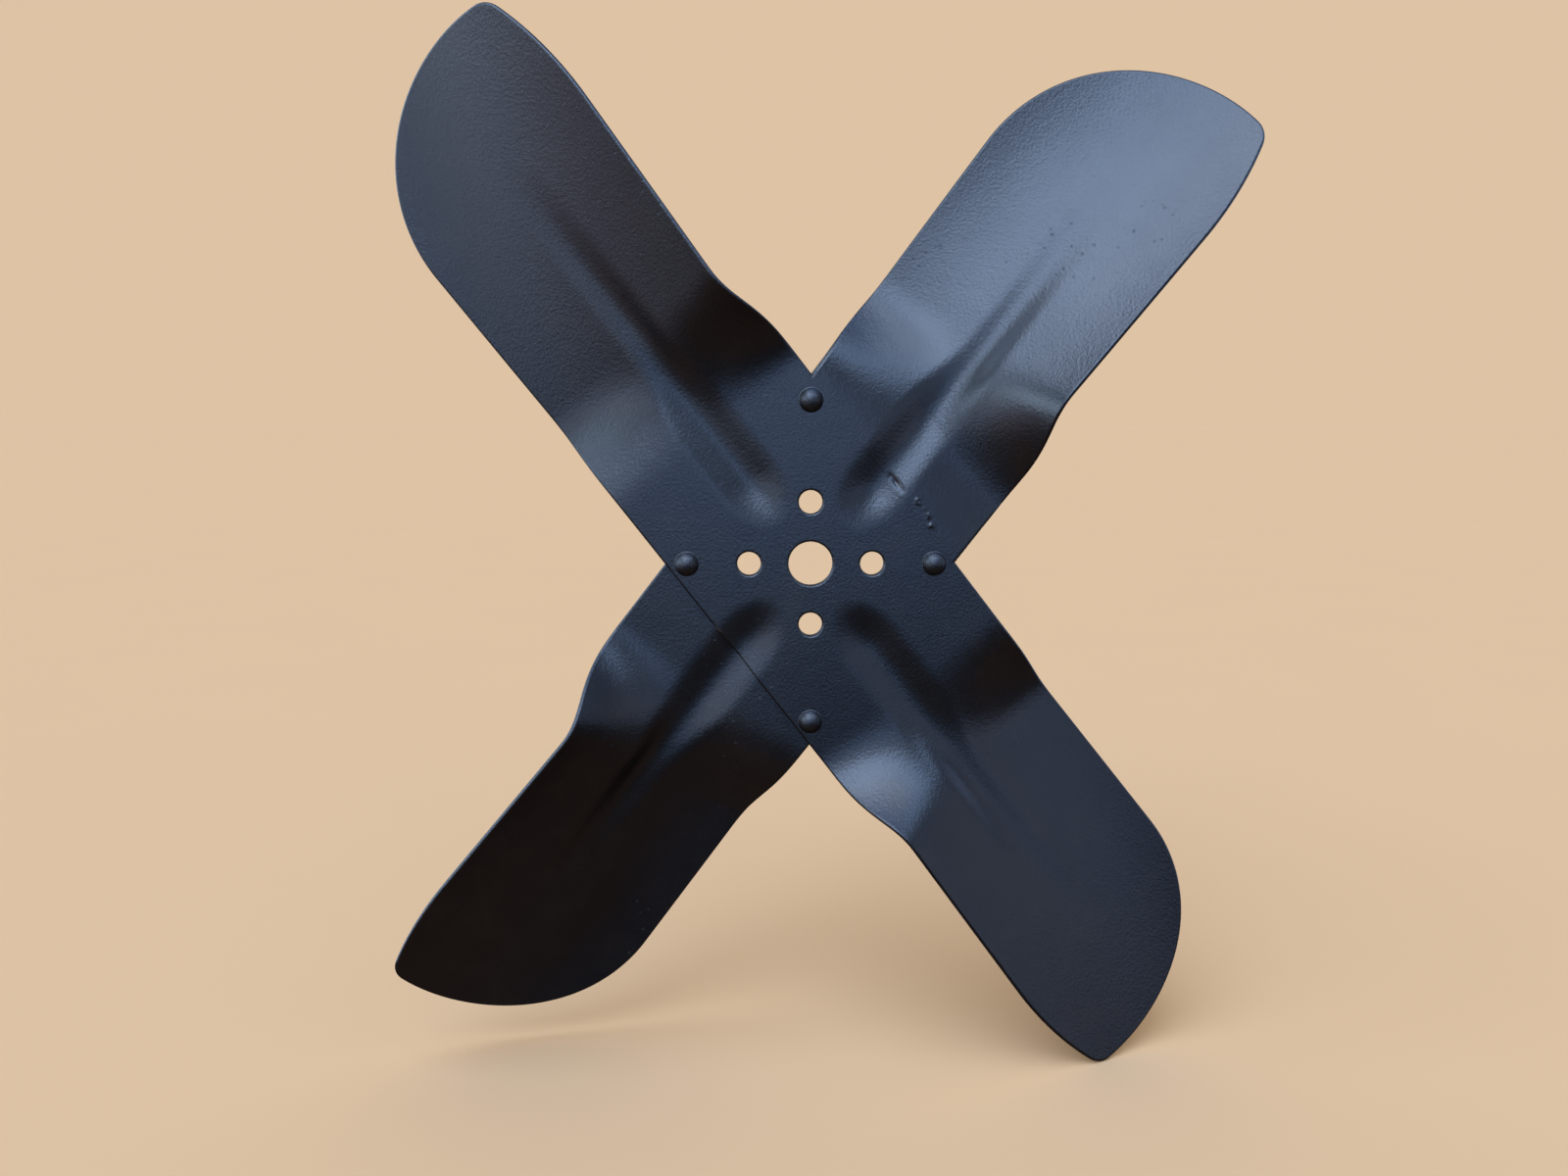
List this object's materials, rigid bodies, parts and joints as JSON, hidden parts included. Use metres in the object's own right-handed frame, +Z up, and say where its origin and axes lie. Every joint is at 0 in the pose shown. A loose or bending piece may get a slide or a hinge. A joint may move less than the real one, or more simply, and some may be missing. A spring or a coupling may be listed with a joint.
{
  "type": "engine cooling fan",
  "caption": "Pressed steel cooling fan with twisted, grooved blades on a flat riveted hub, drilled to bolt onto a water pump or drive hub.",
  "frame": {"origin": "the middle of the front strip's hub face, on the axis that the fan turns about", "axes": "-Y out of the hub face that bolts to the drive hub, along the axis the fan turns about; +Z up, between the two upper blades; +X to the right seen from the hub face"},
  "size_m": [0.3047, 0.041, 0.3742],
  "materials": {
    "satin_black_paint": "satin black paint with a fine orange peel, sprayed over the pressed steel",
    "rivet_paint": "the same satin black paint over the rivet heads, slightly thicker round their rims"
  },
  "bodies": {
    "root": {"front_blade_strip": "satin_black_paint", "back_blade_strip": "satin_black_paint", "rivet_top": "rivet_paint", "rivet_right": "rivet_paint", "rivet_bottom": "rivet_paint", "rivet_left": "rivet_paint"}
  },
  "joints": []
}
